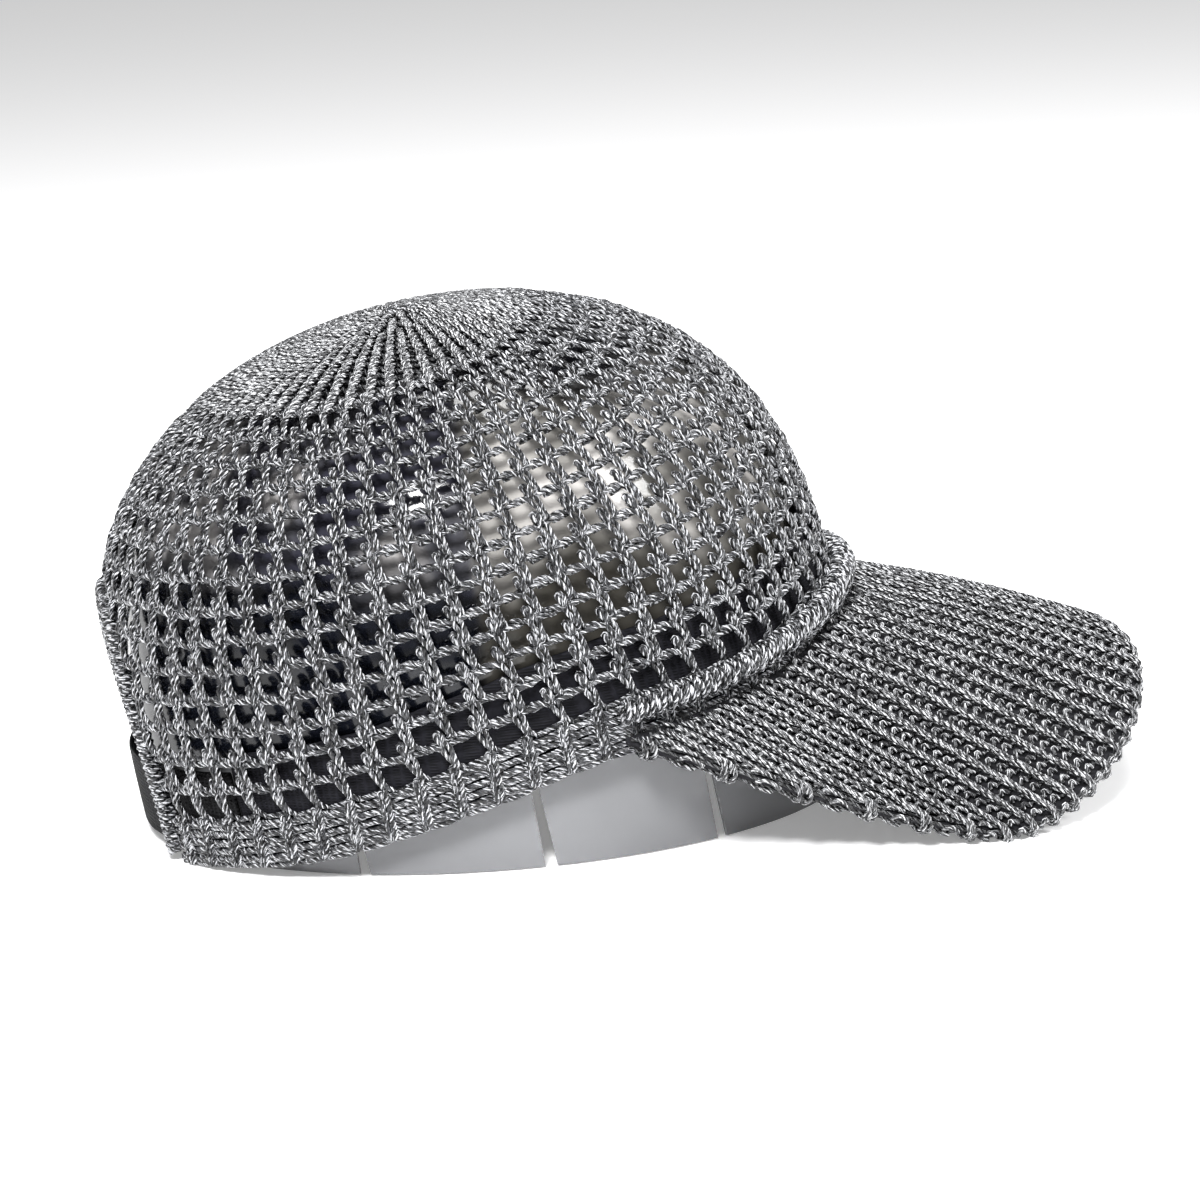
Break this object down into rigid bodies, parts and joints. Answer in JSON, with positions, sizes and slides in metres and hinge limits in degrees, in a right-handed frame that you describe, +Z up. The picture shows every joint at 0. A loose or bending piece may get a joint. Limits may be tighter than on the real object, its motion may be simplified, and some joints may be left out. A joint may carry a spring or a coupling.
{
  "type": "knitted mesh cap",
  "caption": "Open-mesh knitted peaked cap with curved brim, arched back opening and hook-and-loop strap, on a clear crown former.",
  "frame": {"origin": "centre of the bounding box on the surface that the cap stands on", "axes": "+X towards the tip of the brim, +Y towards the wearer's left, +Z up"},
  "size_m": [0.2666, 0.182, 0.1309],
  "materials": {
    "knit_charcoal": "marled silver and charcoal yarn, satin",
    "sweatband_black": "matt twill",
    "webbing_black": "woven tape, slight sheen",
    "hook_loop_black": "hook and loop pile",
    "thread_black": "sewing thread",
    "board_grey": "matt sheet",
    "clear_sheet": "clear thermoformed sheet"
  },
  "bodies": {
    "former": {"crown_former": "clear_sheet"},
    "cap": {"crown_knit": "knit_charcoal", "crown_hem": "knit_charcoal", "arch_trim": "knit_charcoal", "apex_closure": "knit_charcoal", "sweatband": "sweatband_black", "brim_seam_roll": "knit_charcoal", "brim_board": "board_grey", "brim_upper_cover": "knit_charcoal", "brim_under_cover": "knit_charcoal", "strap_loop_side": "webbing_black", "loop_patch": "hook_loop_black", "strap_anchor": "webbing_black", "strap_bar_tacks": "thread_black"},
    "strap_flap": {"strap_flap_root": "webbing_black"},
    "strap_tip": {"strap_flap_tip": "webbing_black", "hook_patch": "hook_loop_black"}
  },
  "joints": [
    {"name": "cap_lift", "type": "slide", "parent": "former", "child": "cap", "axis": [-0.1539, 0, 0.9881], "range_m": [0, 0.16]},
    {"name": "strap_lift", "type": "hinge", "parent": "cap", "child": "strap_flap", "pos_m": [-0.12418, -0.0235, 0.0134], "axis": [0, 0, 1], "range_deg": [0, 100]},
    {"name": "strap_tip_peel", "type": "hinge", "parent": "strap_flap", "child": "strap_tip", "pos_m": [-0.12883, -0.0029, 0.0127], "axis": [0, 0, 1], "range_deg": [0, 75]}
  ]
}
